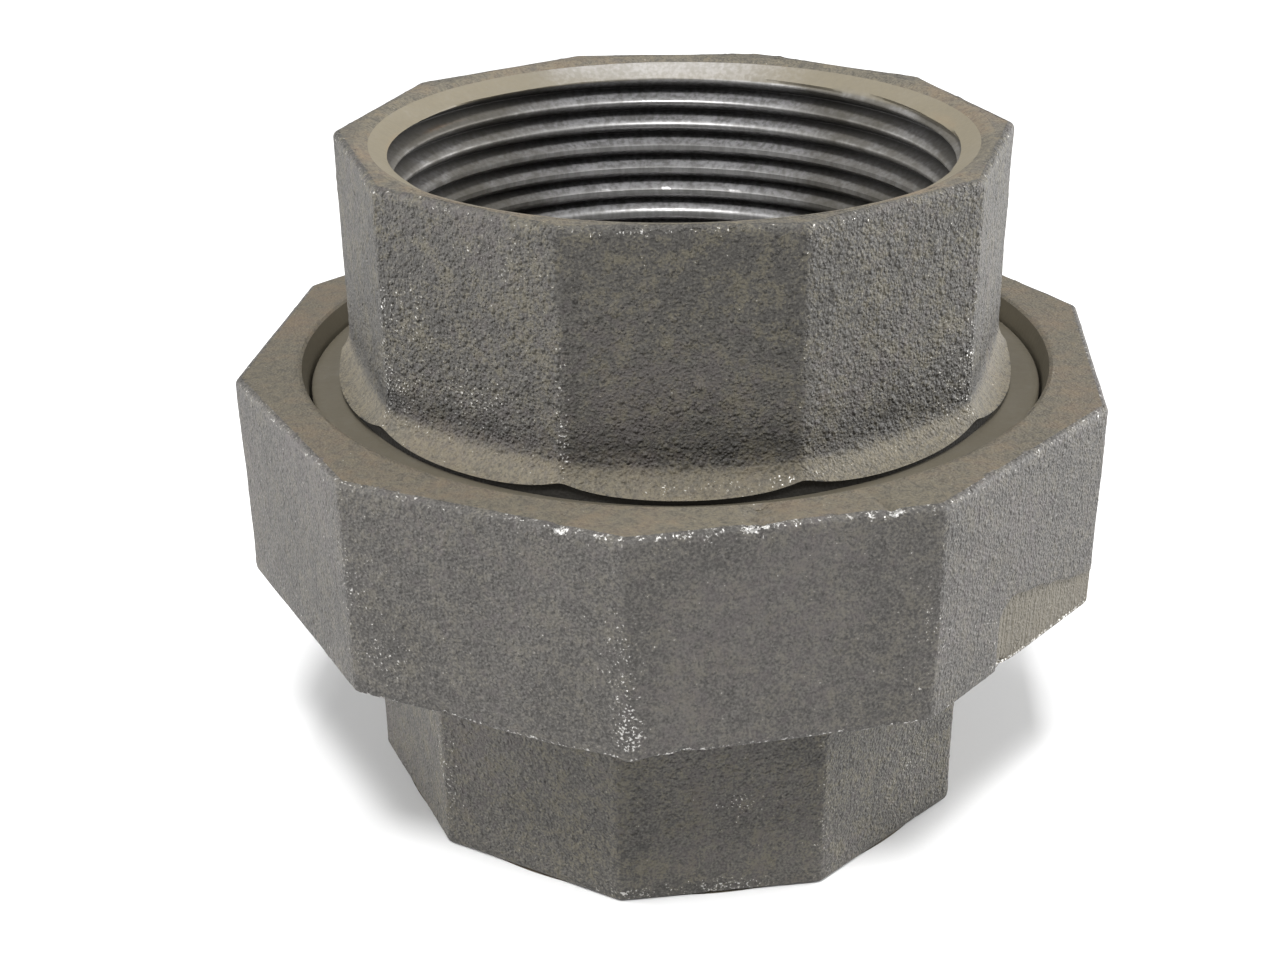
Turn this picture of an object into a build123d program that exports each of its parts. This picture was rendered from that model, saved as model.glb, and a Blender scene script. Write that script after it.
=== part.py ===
"""Malleable-iron pipe union for 2-1/2 inch taper pipe thread, in millimetres.

The axis of the bore is Z, and the union stands on the end of its thread piece at Z = 0.
From the bottom up it is thread_piece, seat_ring and tail_piece, with union_nut round
the joint. All threads are right-hand, so the nut rises as it is turned anticlockwise.
"""

from build123d import *
import math
import os

# ---- driving dimensions ---------------------------------------------------------------
sides = 10
nut_flats = 104.0
tail_flats = 78.0
base_flats = 76.4

total_height = 84.9
nut_bottom = 31.8
nut_top = 57.4

tail_turn = 0.0
nut_turn = 11.6
base_turn = 7.1

corner_round = 1.5
edge_round = 0.8

# 2-1/2 inch taper pipe thread: 8 threads to the inch, taper 1 in 16 on the diameter
pipe_pitch = 25.4 / 8
pipe_taper = 1 / 32
pipe_crest_radius = 33.8
pipe_root_radius = 36.3
pipe_thread_length = 25.4
mouth_radius = 37.45
mouth_depth = 2.1
run_out_radius = 35.6
run_out_length = 2.6
tail_waterway_radius = 32.5
base_waterway_radius = 33.5

# parallel thread between the union nut and the thread piece: 10 threads to the inch
nut_pitch = 2.54
male_major_radius = 48.8
male_root_radius = 47.4
female_crest_radius = 47.7
female_root_radius = 49.1
flank_clearance = 0.22

thread_angle = math.radians(30)
root_flat = 0.12
tool_overrun = 0.1

# joint between the halves
seat_face = 46.4
seat_throat = 37.5
seat_mouth_radius = 42.4
undercut_radius = 47.3
undercut_top = 33.6
start_chamfer = 1.4
flange_radius = 47.2
flange_bottom = 46.9
flange_top = 50.6
collar_radius = 44.2
collar_top = 54.0
neck_radius = 42.1
lip_radius = 44.6
lip_mouth_radius = 46.7
pocket_radius = 49.3
pocket_bottom = 46.6
nut_mouth_radius = 49.5
nut_mouth_top = 33.6
spigot_radius = 36.2
spigot_end = 41.2
ring_radius = 41.8
ring_running_gap = 0.05
seat_gap = 0.1

# cast flares where each ten-sided hub runs into its round part
blank_radius = 50.0
tail_flare_radius = 4.5
tail_flare_level = 55.4
base_flare_radius = 7.0
base_flare_level = 30.6


# ---- shared shapes --------------------------------------------------------------------
def ten_sided_block(across_flats, turn, bottom, top):
    """Add an upright ten-sided prism with rounded corners to the part being built."""
    with BuildSketch(Plane.XY.offset(bottom)) as outline:
        RegularPolygon(across_flats / 2, sides, major_radius=False, rotation=turn)
        fillet(outline.vertices(), corner_round)
    extrude(outline.sketch, amount=top - bottom)


def turned(mode, *outline):
    """Turn a closed outline of (radius, height) points about the bore axis."""
    with BuildSketch(Plane.XZ) as section:
        with BuildLine():
            Polyline(*outline, close=True)
        make_face()
    revolve(section.sketch, axis=Axis.Z, mode=mode)


def helical_groove(start, way, run, pitch, radius, groove, taper=0.0):
    """Cut a right-hand helical groove that starts at height start and runs along way.

    radius is the groove's root, and groove its section as (radial, axial) offsets.
    """
    path = Helix(
        pitch,
        run,
        radius,
        center=(0, 0, start),
        direction=(0, 0, way),
        cone_angle=-math.degrees(math.atan(taper)),
        mode=Mode.PRIVATE,
    )
    begin = path @ 0
    outward = Vector(begin.X, begin.Y, 0).normalized()
    with BuildSketch(Plane(begin, x_dir=outward, z_dir=path % 0)) as section:
        with BuildLine():
            Polyline(*groove, close=True)
        make_face()
    sweep(section.sketch, path=path, is_frenet=True, mode=Mode.SUBTRACT)


def vee(depth, root_half):
    """Section of a groove with 60 degree flanks: its root at 0, its mouth at -depth."""
    mouth_half = root_half + depth * math.tan(thread_angle)
    return (0, -root_half), (0, root_half), (-depth, mouth_half), (-depth, -mouth_half)


def pipe_thread(mouth, inward):
    """Bore one end and cut its taper thread; inward is 1 or -1 along Z."""
    run_out_end = mouth + inward * (pipe_thread_length + run_out_length)
    turned(
        Mode.SUBTRACT,
        (0, mouth),
        (pipe_crest_radius, mouth),
        (pipe_crest_radius, run_out_end),
        (0, run_out_end),
    )
    helical_groove(
        mouth - inward * pipe_pitch,
        inward,
        pipe_pitch + pipe_thread_length + run_out_length / 2,
        pipe_pitch,
        pipe_root_radius + pipe_pitch * pipe_taper,
        vee(pipe_root_radius - pipe_crest_radius + tool_overrun, root_flat / 2),
        pipe_taper,
    )


def pipe_mouth(mouth, inward):
    """Countersink one threaded end and open the run-out behind its thread."""
    thread_end = mouth + inward * pipe_thread_length
    run_out_end = thread_end + inward * run_out_length
    turned(
        Mode.SUBTRACT,
        (0, mouth),
        (mouth_radius, mouth),
        (pipe_crest_radius, mouth + inward * mouth_depth),
        (0, mouth + inward * mouth_depth),
    )
    turned(
        Mode.SUBTRACT,
        (0, thread_end),
        (run_out_radius, thread_end),
        (run_out_radius, run_out_end),
        (0, run_out_end),
    )


def waterway(radius, bottom, top):
    """Bore the plain passage of a half."""
    turned(Mode.SUBTRACT, (0, bottom), (radius, bottom), (radius, top), (0, top))


def foot_edges(piece, level):
    """Edges where a hub meets the round blank at this height."""
    flat_faces = piece.faces().filter_by(Axis.Z)
    ring = flat_faces.filter_by_position(Axis.Z, level - 0.1, level + 0.1)[0]
    return ring.inner_wires()[0].edges()


# ---- thread piece: lower half, with the male thread and the conical seat ---------------
with BuildPart() as thread_piece:
    with BuildSketch(Plane.XY.offset(base_flare_level)):
        Circle(male_major_radius)
    extrude(amount=seat_face - base_flare_level)
    waterway(base_waterway_radius, base_flare_level, seat_face)
    helical_groove(
        nut_bottom - nut_pitch / 2,
        1,
        seat_face - nut_bottom + 2 * nut_pitch,
        nut_pitch,
        male_major_radius + tool_overrun,
        [
            (0, -nut_pitch / 2 + root_flat),
            (0, nut_pitch / 2 - root_flat),
            (male_root_radius - male_major_radius - tool_overrun, flank_clearance),
            (male_root_radius - male_major_radius - tool_overrun, -flank_clearance),
        ],
    )
    ten_sided_block(base_flats, base_turn, 0, base_flare_level)
    fillet(foot_edges(thread_piece, base_flare_level), base_flare_radius)
    fillet(thread_piece.faces().sort_by(Axis.Z)[0].edges(), edge_round)
    pipe_thread(0, 1)
    pipe_mouth(0, 1)
    waterway(base_waterway_radius, 0, seat_throat)
    turned(
        Mode.SUBTRACT,
        (0, seat_throat),
        (base_waterway_radius, seat_throat),
        (seat_mouth_radius, seat_face),
        (0, seat_face),
    )
    turned(
        Mode.SUBTRACT,
        (undercut_radius, base_flare_level),
        (blank_radius, base_flare_level),
        (blank_radius, undercut_top),
        (undercut_radius, undercut_top),
    )
    turned(
        Mode.SUBTRACT,
        (male_major_radius - start_chamfer, seat_face),
        (blank_radius, seat_face),
        (blank_radius, seat_face - start_chamfer),
        (male_major_radius, seat_face - start_chamfer),
    )
thread_piece.part.label = "thread_piece"

# ---- tail piece: upper half, with the flange that the nut pulls down --------------------
with BuildPart() as tail_piece:
    ten_sided_block(tail_flats, tail_turn, tail_flare_level, total_height)
    fillet(tail_piece.faces().sort_by(Axis.Z)[-1].edges(), edge_round)
    pipe_thread(total_height, -1)
    with BuildSketch(Plane.XY.offset(flange_bottom)):
        Circle(blank_radius)
    extrude(amount=tail_flare_level - flange_bottom)
    fillet(foot_edges(tail_piece, tail_flare_level), tail_flare_radius)
    with BuildSketch(Plane.XY.offset(spigot_end)):
        Circle(spigot_radius)
    extrude(amount=flange_bottom - spigot_end)
    pipe_mouth(total_height, -1)
    waterway(tail_waterway_radius, spigot_end, total_height)
    turned(
        Mode.SUBTRACT,
        (flange_radius, flange_bottom),
        (blank_radius + 1, flange_bottom),
        (blank_radius + 1, tail_flare_level + tail_flare_radius),
        (neck_radius, tail_flare_level + tail_flare_radius),
        (neck_radius, collar_top),
        (collar_radius, collar_top),
        (collar_radius, flange_top),
        (flange_radius, flange_top),
    )
tail_piece.part.label = "tail_piece"

# ---- union nut: lip at the top, female thread below -------------------------------------
with BuildPart() as union_nut:
    ten_sided_block(nut_flats, nut_turn, nut_bottom, nut_top)
    fillet(union_nut.faces().sort_by(Axis.Z)[0].edges(), edge_round)
    fillet(union_nut.faces().sort_by(Axis.Z)[-1].edges(), edge_round)
    turned(
        Mode.SUBTRACT,
        (0, nut_bottom),
        (female_crest_radius, nut_bottom),
        (female_crest_radius, flange_top),
        (0, flange_top),
    )
    helical_groove(
        nut_bottom - nut_pitch,
        1,
        pocket_bottom - nut_bottom + 1.5 * nut_pitch,
        nut_pitch,
        female_root_radius,
        vee(female_root_radius - female_crest_radius + tool_overrun, flank_clearance),
    )
    turned(
        Mode.SUBTRACT,
        (0, pocket_bottom),
        (pocket_radius, pocket_bottom),
        (pocket_radius, flange_top),
        (lip_radius, flange_top),
        (lip_radius, collar_top),
        (lip_mouth_radius, nut_top),
        (0, nut_top),
    )
    turned(
        Mode.SUBTRACT,
        (0, nut_bottom),
        (nut_mouth_radius, nut_bottom),
        (female_crest_radius, nut_mouth_top),
        (0, nut_mouth_top),
    )
union_nut.part.label = "union_nut"

# ---- seat ring: brass, ball-faced, round the tail piece's spigot ------------------------
seat_slope = (seat_mouth_radius - base_waterway_radius) / (seat_face - seat_throat)
touch_height = (seat_face + seat_throat) / 2
touch_radius = (seat_mouth_radius + base_waterway_radius) / 2
ball_centre = touch_height + touch_radius * seat_slope
ball_radius = touch_radius * math.hypot(1, seat_slope) - seat_gap
ring_bore = spigot_radius + ring_running_gap
ring_top = flange_bottom - ring_running_gap


def ball_height(radius):
    """Height of the seat ring's ball face at this radius."""
    return ball_centre - math.sqrt(ball_radius**2 - radius**2)


def ball_width(height):
    """Radius of the seat ring's ball face at this height."""
    return math.sqrt(ball_radius**2 - (ball_centre - height) ** 2)


with BuildPart() as seat_ring:
    with BuildSketch(Plane.XZ):
        with BuildLine():
            RadiusArc(
                (ball_width(spigot_end), spigot_end),
                (ring_radius, ball_height(ring_radius)),
                -ball_radius,
            )
            Polyline(
                (ring_radius, ball_height(ring_radius)),
                (ring_radius, ring_top),
                (ring_bore, ring_top),
                (ring_bore, spigot_end),
                (ball_width(spigot_end), spigot_end),
            )
        make_face()
    revolve(axis=Axis.Z)
seat_ring.part.label = "seat_ring"

# ---- written parts ----------------------------------------------------------------------
os.makedirs("parts", exist_ok=True)
export_step(thread_piece.part, "parts/thread_piece.step")
export_step(seat_ring.part, "parts/seat_ring.step")
export_step(tail_piece.part, "parts/tail_piece.step")
export_step(union_nut.part, "parts/union_nut.step")
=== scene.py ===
"""Looks of a malleable-iron pipe union: cast hubs and nut, cut threads, brass seat ring.

Shapes are rows of points round the bore axis, in millimetres, each row a radius and a
height for every angle. A piece is a closed ring: its rows run down the outside, in along
the bottom, up the inside and out along the top, so that its faces point outwards.
"""

import math
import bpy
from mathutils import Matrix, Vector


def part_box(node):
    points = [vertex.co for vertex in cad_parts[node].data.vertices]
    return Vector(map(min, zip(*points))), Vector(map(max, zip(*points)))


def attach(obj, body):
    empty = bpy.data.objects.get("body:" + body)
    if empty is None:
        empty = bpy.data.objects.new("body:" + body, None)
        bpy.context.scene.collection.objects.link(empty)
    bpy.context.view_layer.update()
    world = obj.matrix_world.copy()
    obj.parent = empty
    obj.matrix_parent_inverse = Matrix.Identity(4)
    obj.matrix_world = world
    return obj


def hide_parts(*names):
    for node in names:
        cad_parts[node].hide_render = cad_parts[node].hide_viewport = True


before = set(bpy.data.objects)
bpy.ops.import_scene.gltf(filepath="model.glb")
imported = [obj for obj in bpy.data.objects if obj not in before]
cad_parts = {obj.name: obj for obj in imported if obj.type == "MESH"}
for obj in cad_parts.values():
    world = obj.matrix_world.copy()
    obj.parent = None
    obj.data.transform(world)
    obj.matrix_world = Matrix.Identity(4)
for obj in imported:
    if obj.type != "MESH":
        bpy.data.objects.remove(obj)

from types import SimpleNamespace

import bmesh
import bpy
import numpy as np
from bpy.props import FloatProperty, FloatVectorProperty, PointerProperty
from mathutils import Matrix, Vector

bl_info = {
    "name": "Pipe union",
    "version": (1, 0, 0),
    "blender": (4, 5, 0),
    "location": "View3D > Sidebar > Pipe union",
    "description": "Builds a cast-iron pipe union round its engineering model",
    "category": "Object",
}

BASE_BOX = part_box("thread_piece")
TAIL_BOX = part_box("tail_piece")
NUT_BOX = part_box("union_nut")

MM = 0.001
FULL_TURN = 2 * math.pi
SIDES = 10
SIDE_ANGLE = FULL_TURN / SIDES
FLANK = math.tan(math.radians(30))
SHARP_ANGLE = math.radians(50)
WELD = 0.003 * MM

# What a piece's surface is like at each point, with painted shade and painted highlights among them; the
# finishes read these.
FIELDS = ("cast", "turned", "worn", "rust", "speck", "ground", "grime")

# How strongly columns crowd towards corners, and how far the nut's cast edge hangs below its solid's.
CORNER_CROWDING = 0.35
CAST_DROOP = 0.7 * MM

# Columns round a bore, and a step for hidden walls that need few rows.
BORE_COLUMNS = 400
LONG_STEP = 30

# How the groove fades out and the cast skin sets in near the cone of a countersink, in millimetres.
CONE_FADE = (-0.4, 0.6)
CONE_SKIN = (0.8, 0.3)

# Radii and levels of the turned surfaces, in millimetres.
PIPE_CREST = 33.8
PIPE_ROOT = 36.3
PIPE_TAPER = 1 / 32
PIPE_LENGTH = 25.4
MOUTH_RADIUS = 37.45
MOUTH_DEPTH = 2.1
MOUTH_EDGE = 0.6
THREAD_START = 0.575
SEAM_RADIUS = 36.45
SEAM_DEPTH = 0.9
RUN_OUT_RADIUS = 35.6
RUN_OUT_LENGTH = 2.6
TAIL_WATERWAY = 32.5
BASE_WATERWAY = 33.5
SLEEVE_BACK = 37.35
SLEEVE_DEPTH = 2.2
SPIGOT_MIDDLE = 34.3
SPIGOT_RADIUS = 36.2
FLANGE_RADIUS = 47.2
FLANGE_BOTTOM = 46.9
FLANGE_TOP = 50.6
COLLAR_RADIUS = 45.6
COLLAR_TOP = 54.8
NECK_RADIUS = 42.1
NECK_RELIEF = 0.6
TAIL_FLARE = 4.5
TAIL_FLARE_LEVEL = 55.4
BASE_FLARE = 7.0
BASE_FLARE_LEVEL = 30.6
UNDERCUT_RADIUS = 47.3
UNDERCUT_TOP = 33.6
SEAT_THROAT = 37.5
SEAT_MOUTH = 42.4
MALE_MAJOR = 48.8
MALE_ROOT = 47.4
FEMALE_CREST = 47.7
FEMALE_ROOT = 49.1
NUT_MOUTH = 49.5
NUT_MOUTH_TOP = 33.6
POCKET_RADIUS = 49.3
POCKET_BOTTOM = 46.6
LIP_RADIUS = 45.95
LIP_MOUTH = 46.7
NUT_CORE = 49.65
NUT_CORE_BOTTOM = 0.8
NUT_CORE_TOP = 3
THREAD_FLAT = 0.22
THREAD_PLAY = 0.12
THREAD_DEEPER = 0.1
NUT_THIN_EDGE = 0.4


# ---- sizes and finishes ----
def length(name, description, default):
    """A length property in metres."""
    return FloatProperty(name=name, description=description, default=default, unit="LENGTH", precision=5)


def turning(name, description, degrees):
    """An angle property, its default given in degrees."""
    return FloatProperty(name=name, description=description, default=math.radians(degrees), subtype="ANGLE")


def amount(name, description, default, low, high):
    """A plain number property with its limits."""
    return FloatProperty(name=name, description=description, default=default, min=low, max=high)


def colour(name, description, default):
    """A linear colour property."""
    return FloatVectorProperty(
        name=name, description=description, default=default, size=3, subtype="COLOR", min=0, max=1
    )


class UnionSizes(bpy.types.PropertyGroup):
    """Sizes that the iron pieces are worked out from."""

    nut_flats: length("Nut flats", "Width of the union nut across its flats", 0.104)
    tail_flats: length("Tail flats", "Width of the upper hub across its flats", 0.078)
    base_flats: length("Base flats", "Width of the lower hub across its flats", 0.0764)
    nut_turn: turning("Nut turn", "Angle of the nut's first corner", 11.6)
    base_turn: turning("Base turn", "Angle of the lower hub's first corner", 7.1)
    corner_round: length("Corner round", "Radius of the upright cast corners", 0.0015)
    edge_round: length("Edge round", "Radius of the cast edges at the end faces", 0.0008)
    total_height: length("Height", "Height of the joined union", TAIL_BOX[1].z)
    spigot_end: length("Spigot end", "Height of the tail piece's lower end", TAIL_BOX[0].z)
    nut_bottom: length("Nut bottom", "Height of the nut's cast lower edge", NUT_BOX[0].z - CAST_DROOP)
    nut_top: length("Nut top", "Height of the nut's upper face", NUT_BOX[1].z)
    seat_face: length("Seat face", "Height of the thread piece's upper end", BASE_BOX[1].z)
    pipe_pitch: length("Pipe pitch", "Pitch of the taper pipe thread", 0.0254 / 8)
    nut_pitch: length("Nut pitch", "Pitch of the union thread", 0.0254 / 10)


class UnionFinish(bpy.types.PropertyGroup):
    """Colours and strengths of the surfaces."""

    iron_dark: colour("Dark iron", "Skin of the casting in its hollows", (0.034, 0.031, 0.027))
    iron_light: colour("Light iron", "Skin of the casting on its high spots", (0.108, 0.101, 0.088))
    ochre: colour("Ochre", "Yellow-brown grains on the casting", (0.108, 0.093, 0.056))
    plum: colour("Plum", "Purplish grains on the casting", (0.072, 0.059, 0.060))
    film: colour("Rust film", "Thin brown film on turned faces", (0.120, 0.104, 0.072))
    rust: colour("Rust", "Orange rust at the mouths", (0.20, 0.11, 0.05))
    # Painted shade: this near-black is laid where shade falls, in groove roots, the neck slit, the collar and
    # the hub's foot.
    shade_black: colour("Soot", "Oily dirt in the deep corners", (0.012, 0.011, 0.010))
    # Bare iron, also used for painted highlights and glints on edges, corners and thread crests.
    bare_iron_and_glint: colour("Bare iron", "Metal where the skin is rubbed off", (0.56, 0.55, 0.53))
    cut_dark: colour("Dark cut iron", "Threads in their duller places", (0.20, 0.195, 0.19))
    cut_light: colour("Light cut iron", "Threads in their brighter places", (0.40, 0.395, 0.405))
    brass: colour("Brass", "Seat ring", (0.62, 0.45, 0.22))
    grain: amount("Grain", "Height of the sand grains in mm", 0.26, 0, 0.6)


class UnionStudio(bpy.types.PropertyGroup):
    """Camera, floor and lights."""

    lens: amount("Lens", "Focal length in mm", 49.98, 10, 200)
    stand_off: FloatVectorProperty(
        name="Camera place", description="Camera position in metres",
        default=(-0.00452, -0.21038, 0.14015), size=3, subtype="TRANSLATION",
    )
    tilt: turning("Tilt", "How far the camera looks down", 25.97)
    roll: turning("Roll", "Lean of the camera", -0.698)
    floor: colour("Floor", "Pale floor", (0.76, 0.76, 0.76))
    sky: amount("Surround", "Strength of the white surround", 0.36, 0, 4)


def sizes():
    """The sizes in millimetres, angles left in radians."""
    group = bpy.context.scene.union_sizes
    names = [p.identifier for p in group.bl_rna.properties if p.type == "FLOAT"]
    turns = ("nut_turn", "base_turn")
    return SimpleNamespace(**{n: getattr(group, n) * (1 if n in turns else 1 / MM) for n in names})


# ---- numbers over arrays ----
def ramp(value, low, high):
    """0 below low, 1 above high, and 3t^2 - 2t^3 between them."""
    share = np.clip((value - low) / (high - low), 0, 1)
    return share * share * (3 - 2 * share)


def bump(value, middle, width):
    """A bell: e to the power of minus the squared distance from middle in widths."""
    return np.exp(-(((value - middle) / width) ** 2))


def scatter(cell, seed):
    """A number from 0 to 1 for each integer cell, mixed from its coordinates and the seed."""
    mixed = cell[..., 0] * 73856093 ^ cell[..., 1] * 19349663 ^ cell[..., 2] * 83492791 ^ seed * 49979687
    mixed = (mixed ^ (mixed >> 13)) * 1274126177 & 0x7FFFFFFF
    mixed = (mixed ^ (mixed >> 15)) * 668265263 & 0x7FFFFFFF
    return ((mixed ^ (mixed >> 11)) & 0xFFFFF) / 0xFFFFF


def noise(points, size, seed):
    """Smooth noise from -1 to 1: random corner values of a lattice of this size, eased between corners."""
    place = points / size
    corner = np.floor(place).astype(np.int64)
    share = place - corner
    share = share * share * (3 - 2 * share)
    total = np.zeros(points.shape[:-1])
    for step in np.ndindex(2, 2, 2):
        weight = np.prod(np.where(step, share, 1 - share), axis=-1)
        total += weight * scatter(corner + np.array(step), seed)
    return 2 * total - 1


def grains(points, size, seed, fill=0.7):
    """Round grains from 0 to 1, at most one in each cell of this size, and only in a share of the cells.

    At distance d from its jittered centre a grain is tall (1 - (d/r)^2); where two overlap the higher counts.
    """
    place = points / size
    corner = np.floor(place).astype(np.int64)
    highest = np.zeros(points.shape[:-1])
    for step in np.ndindex(3, 3, 3):
        cell = corner + np.array(step) - 1
        centre = cell + 0.5 + 0.8 * (np.stack([scatter(cell, seed + k) for k in (1, 2, 3)], -1) - 0.5)
        radius = 0.3 + 0.4 * scatter(cell, seed + 4)
        distance = np.linalg.norm(place - centre, axis=-1) / radius
        tall = (0.4 + 0.6 * scatter(cell, seed + 5)) * (scatter(cell, seed + 6) < fill)
        highest = np.maximum(highest, tall * np.clip(1 - distance**2, 0, 1))
    return highest


# ---- rows round the axis ----
def even_columns(count):
    """Angles of a full turn in even steps, the last one closing on the first."""
    return np.linspace(0, FULL_TURN, count + 1)


def side_columns(turn, per_side):
    """Angles of a full turn, closer together near the corners: t - c sin(2 pi t) / (2 pi) along a side."""
    share = np.arange(SIDES * per_side + 1) / per_side
    eased = share - CORNER_CROWDING * np.sin(FULL_TURN * share) / FULL_TURN
    return turn + SIDE_ANGLE * eased


def from_corner(angle, turn):
    """Signed angle from the nearest corner of a ten-sided outline."""
    return (angle - turn + SIDE_ANGLE / 2) % SIDE_ANGLE - SIDE_ANGLE / 2


def hub_shape(flats, turn, per_side, size):
    """What the bands of one ten-sided piece share: its angles, outline and rounding."""
    angle = side_columns(turn, per_side)
    return SimpleNamespace(
        angle=angle, flats=flats, turn=turn, corner=size.corner_round, edge=size.edge_round
    )


def ten_sided(hub, grow=0.0):
    """Radius of a hub's ten-sided outline with round corners, grown outwards by grow.

    It is apothem / cos(angle from mid side) along a side, and an arc of the corner radius at a corner.
    """
    apothem = (hub.flats + 2 * grow) / 2
    corner = hub.corner + grow
    away = from_corner(hub.angle, hub.turn)
    centre = (apothem - corner) / math.cos(SIDE_ANGLE / 2)
    flat = apothem / np.cos(SIDE_ANGLE / 2 - np.abs(away))
    arc = centre * np.cos(away) + np.sqrt(np.maximum(corner**2 - (centre * np.sin(away)) ** 2, 0))
    on_arc = np.tan(SIDE_ANGLE / 2 - np.abs(away)) > (apothem - corner) * math.tan(SIDE_ANGLE / 2) / apothem
    return np.where(on_arc, arc, flat)


def band(radius, height, **fields):
    """A block of rows: radius and height arrays, and its surface fields, each a number or an array."""
    radius, height = np.broadcast_arrays(radius, height)
    values = {name: np.broadcast_to(fields.get(name, 0.0), radius.shape) for name in FIELDS}
    return SimpleNamespace(radius=radius, height=height, **values)


def turned_band(angle, outline, step=1.5, ease=0.0, **fields):
    """Circles through (radius, height) points, at most step apart, with inner corners cut back by ease."""
    points = [np.array(p, float) for p in outline]
    eased = [points[0]]
    for before, here, after in zip(points, points[1:], points[2:]):
        for other in (before, after):
            span = np.linalg.norm(other - here)
            eased.append(here + (other - here) * min(ease / span, 0.3))
    eased.append(points[-1])
    rows = [eased[0]]
    for start, end in zip(eased, eased[1:]):
        count = max(1, math.ceil(np.linalg.norm(end - start) / step))
        rows += [start + (end - start) * k / count for k in range(1, count + 1)]
    rows = np.array(rows)
    ones = np.ones_like(angle)
    return band(rows[:, :1] * ones, rows[:, 1:] * ones, **fields)


def helical_band(angle, groove, low, high, within=None, **fields):
    """A threaded stretch between the heights low and high, its rows following the helix.

    groove gives centre, the height of a groove's middle at angle 0, its pitch, the radius function
    radius(distance from the middle, height) and edges, the distances from the middle at which rows run.
    within(height) is a countersink's cone, in which the groove fades out. A male thread's rows run downwards.
    """
    first = math.floor((low - groove.centre) / groove.pitch) - 2
    last = math.ceil((high - groove.centre) / groove.pitch) + 1
    middles = groove.centre + groove.pitch * np.arange(first, last + 1)
    offsets = np.concatenate([m + np.array(groove.edges) for m in middles])
    rise = groove.pitch * angle / FULL_TURN
    height = np.clip(offsets[:, None] + rise[None, :], low, high)
    away = (height - rise - groove.centre + groove.pitch / 2) % groove.pitch - groove.pitch / 2
    radius = groove.radius(np.abs(away), height)
    face = 0.0
    if within is not None:
        cone = within(height)
        fade = ramp(groove.crest - cone, *CONE_FADE)
        radius = np.maximum(groove.crest + (radius - groove.crest) * fade, cone)
        face = ramp(cone, groove.crest - CONE_SKIN[0], groove.crest - CONE_SKIN[1])
        fields["cast"] = face
    depth = np.abs(radius - groove.crest) / abs(groove.root - groove.crest)
    # Painted shade: near-black in the groove roots, where the ridges shade them.
    fields["grime"] = 0.9 * ramp(depth, 0.3, 0.85) * (1 - face)
    # Crests are brightened towards bare metal: partly wear, partly a painted highlight along every crest.
    fields["worn"] = (1 - ramp(depth, 0.0, 0.3)) * (1 - face)
    if groove.inside:
        return band(radius, height, **fields)
    return band(radius[::-1], height[::-1], **fields)


def stack(*bands):
    """The rows of several bands, one after the other, closed on the first row."""
    names = ("radius", "height", *FIELDS)
    joined = {n: np.concatenate([getattr(b, n) for b in bands] + [getattr(bands[0], n)[:1]]) for n in names}
    return SimpleNamespace(**joined)


def section_normals(rows):
    """Outward direction of each point in its (radius, height) plane: across the line of neighbouring rows."""
    across = np.gradient(rows.radius, axis=0)
    along = np.gradient(rows.height, axis=0)
    size = np.maximum(np.hypot(across, along), 1e-9)
    return -along / size, across / size


def points_of(angle, rows):
    """Cartesian points of the rows in millimetres: radius cos, radius sin, height."""
    return np.stack([rows.radius * np.cos(angle), rows.radius * np.sin(angle), rows.height], -1)


def ring_piece(name, angle, rows, relief=None):
    """Mesh object of a closed ring of rows; relief(points, rows) in mm moves its points outwards first."""
    if relief is not None:
        out, up = section_normals(rows)
        raised = relief(points_of(angle, rows), rows)
        rows.radius = rows.radius + out * raised
        rows.height = rows.height + up * raised
    points = points_of(angle, rows) * MM
    count, columns = rows.radius.shape
    index = np.arange(count * columns).reshape(count, columns)
    quads = np.stack([index[:-1, :-1], index[1:, :-1], index[1:, 1:], index[:-1, 1:]], -1).reshape(-1, 4)
    mesh = bpy.data.meshes.new(name)
    mesh.vertices.add(index.size)
    mesh.vertices.foreach_set("co", points.astype(np.float32).ravel())
    mesh.loops.add(quads.size)
    mesh.loops.foreach_set("vertex_index", quads.astype(np.int32).ravel())
    mesh.polygons.add(len(quads))
    mesh.polygons.foreach_set("loop_start", np.arange(0, quads.size, 4, dtype=np.int32))
    mesh.update(calc_edges=True)
    for field in FIELDS:
        layer = mesh.attributes.new(field, "FLOAT", "POINT")
        layer.data.foreach_set("value", getattr(rows, field).astype(np.float32).ravel())
    close_seams(mesh)
    mesh.polygons.foreach_set("use_smooth", np.ones(len(mesh.polygons), bool))
    mesh.set_sharp_from_angle(angle=SHARP_ANGLE)
    piece = bpy.data.objects.new(name, mesh)
    bpy.context.scene.collection.objects.link(piece)
    return piece


def close_seams(mesh):
    """Merge the points that lie on each other, at the seam and where rows are cut off at an end."""
    shape = bmesh.new()
    shape.from_mesh(mesh)
    bmesh.ops.remove_doubles(shape, verts=shape.verts, dist=WELD)
    bmesh.ops.dissolve_degenerate(shape, edges=shape.edges, dist=WELD)
    shape.to_mesh(mesh)
    shape.free()


def join_frame(piece, body, node, finish):
    """Give a piece its material, put it under its body's empty, and hide the engineering solid it stands for.
    """
    piece.data.materials.append(finish)
    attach(piece, body)
    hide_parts(node)


# ---- cast skin ----
def cast_relief(points, rows, seed, coarse=0.5):
    """Sand-cast skin in mm: slow waves, lumps, and round grains as tall as the coarse field says."""
    grain = bpy.context.scene.union_finish.grain
    waves = 0.09 * noise(points, 15, seed) + 0.05 * noise(points, 5, seed + 1)
    lumps = 0.05 * noise(points, 3.0, seed + 2)
    large = grains(points, 1.5, seed + 10, 0.14)
    small = grains(points, 0.95, seed + 20, 0.3)
    sand = grain * coarse * (large + 0.7 * small)
    return rows.cast * (waves + lumps * (0.4 + coarse) + sand)


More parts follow.
